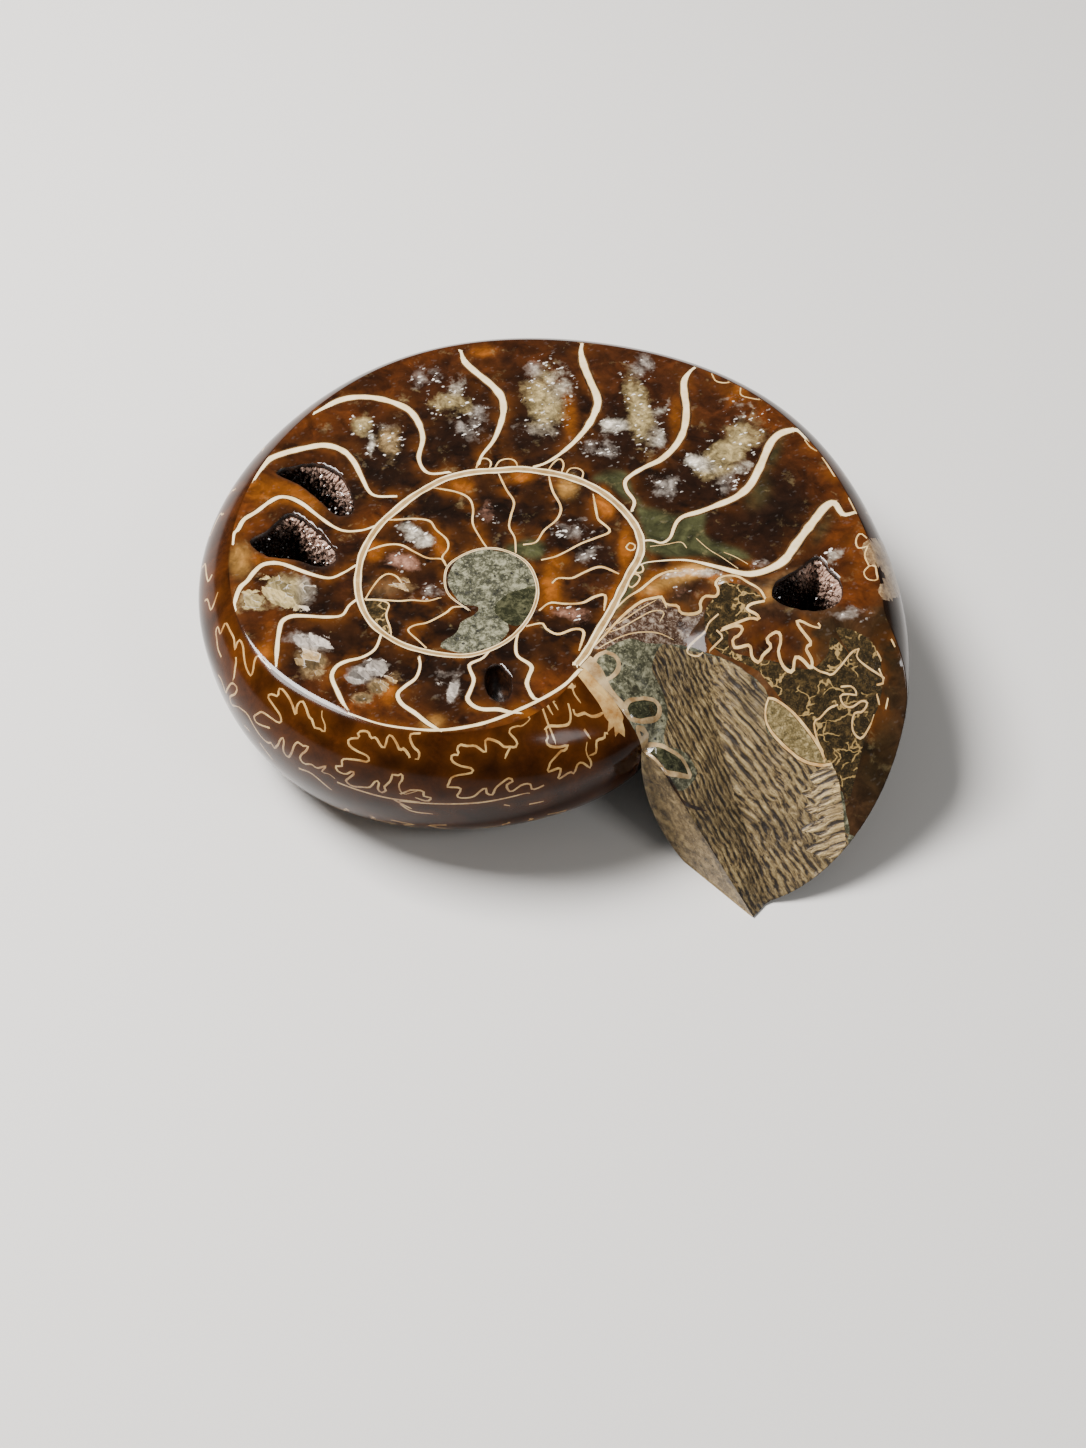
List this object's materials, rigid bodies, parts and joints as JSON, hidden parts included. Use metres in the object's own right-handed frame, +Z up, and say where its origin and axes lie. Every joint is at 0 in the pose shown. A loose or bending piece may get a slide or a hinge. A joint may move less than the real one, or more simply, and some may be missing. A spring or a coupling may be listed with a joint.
{
  "type": "polished ammonite fossil",
  "caption": "Coiled ammonite fossil turned to calcite, with one flank ground flat and polished to show its chambers, crystal-lined hollows and a sloping mouth of limestone.",
  "frame": {"origin": "middle of the bounding box, on the surface that the fossil lies on", "axes": "+Z up, out of the polished face; +X to the viewer's right and +Y away from the viewer when the mouth opens towards the viewer at the right"},
  "size_m": [0.0696, 0.064, 0.018],
  "materials": {
    "calcite": "amber to dark brown calcite with cream partitions and suture lines, glassy polish; tan and grey-green limestone in the mouth",
    "crystal": "small brown and white calcite crystals, glassy"
  },
  "bodies": {
    "root": {"ammonite": "calcite", "crystals_upper_left": "crystal", "crystals_lower_left": "crystal", "crystals_right": "crystal"}
  },
  "joints": []
}
